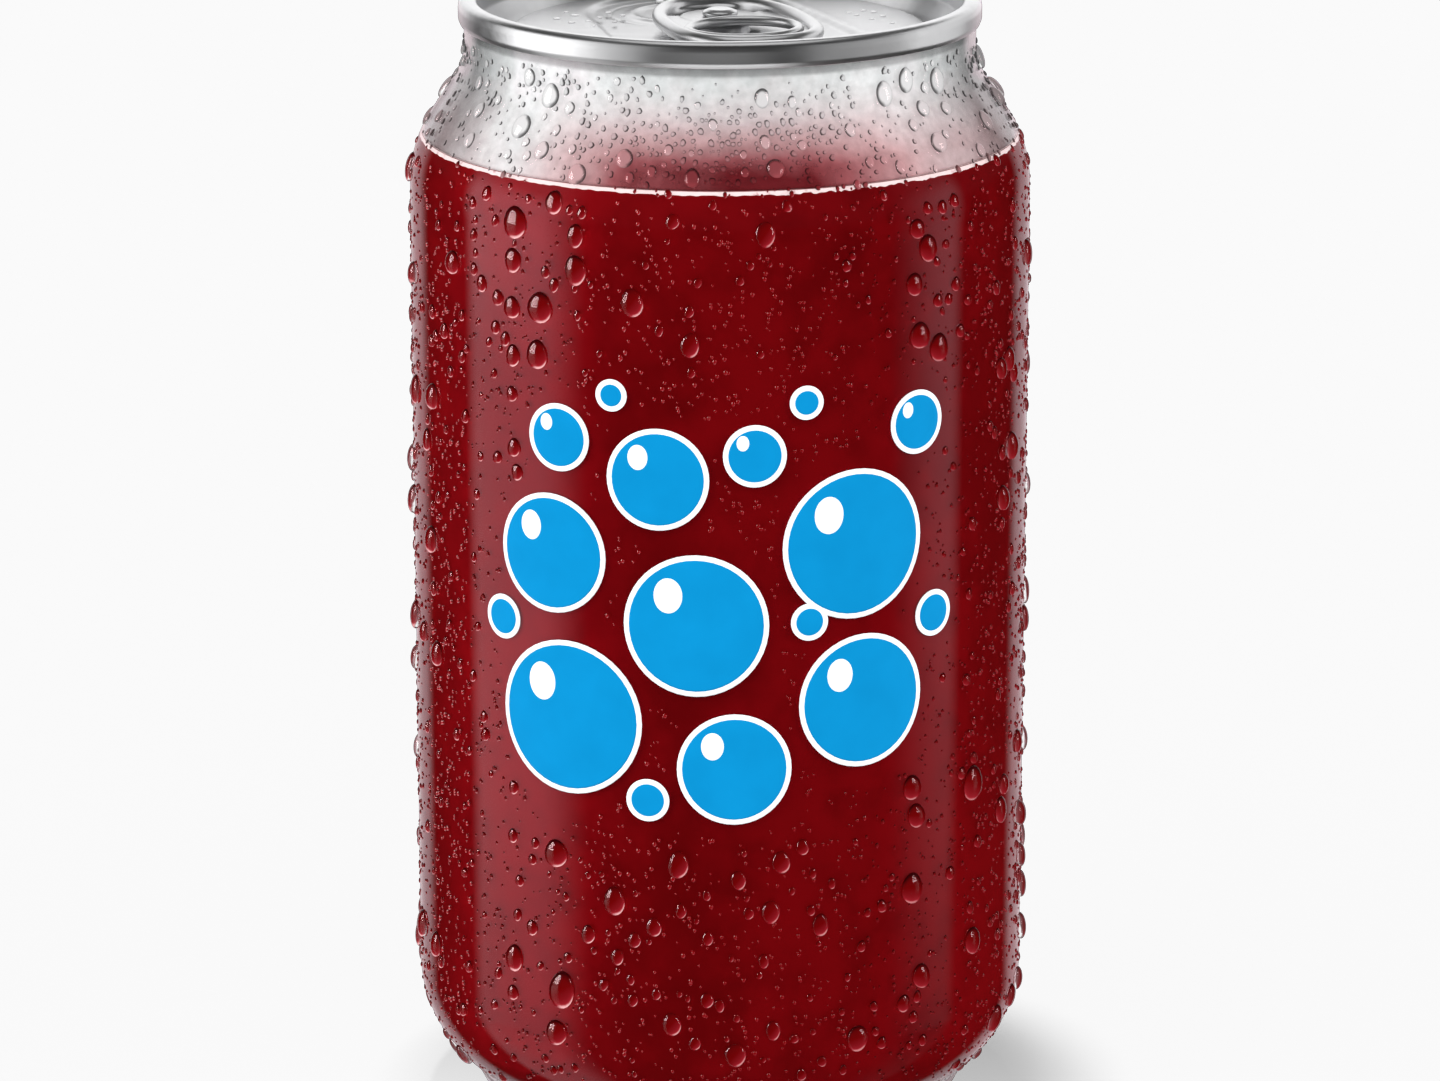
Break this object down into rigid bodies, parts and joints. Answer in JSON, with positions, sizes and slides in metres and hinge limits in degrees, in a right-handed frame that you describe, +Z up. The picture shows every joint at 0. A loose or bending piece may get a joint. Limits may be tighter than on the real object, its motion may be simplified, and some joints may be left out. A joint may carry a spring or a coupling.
{
  "type": "soda can",
  "caption": "Clear plastic drinks can with a seamed aluminium easy-open end and pull tab, filled with a dark red drink.",
  "frame": {"origin": "centre of the foot, on the surface that the can stands on", "axes": "+Z up along the can's axis, -Y towards the front of the can, which the pull tab's finger end points to"},
  "size_m": [0.066, 0.066, 0.1225],
  "materials": {
    "clear_plastic": "clear, polished",
    "drink": "dark red liquid, glossy",
    "aluminium": "bright rolled sheet",
    "tab_aluminium": "bright, curled edges"
  },
  "bodies": {
    "root": {"can_body": "clear_plastic", "drink": "drink", "can_end": "aluminium", "pull_tab": "tab_aluminium"}
  },
  "joints": []
}
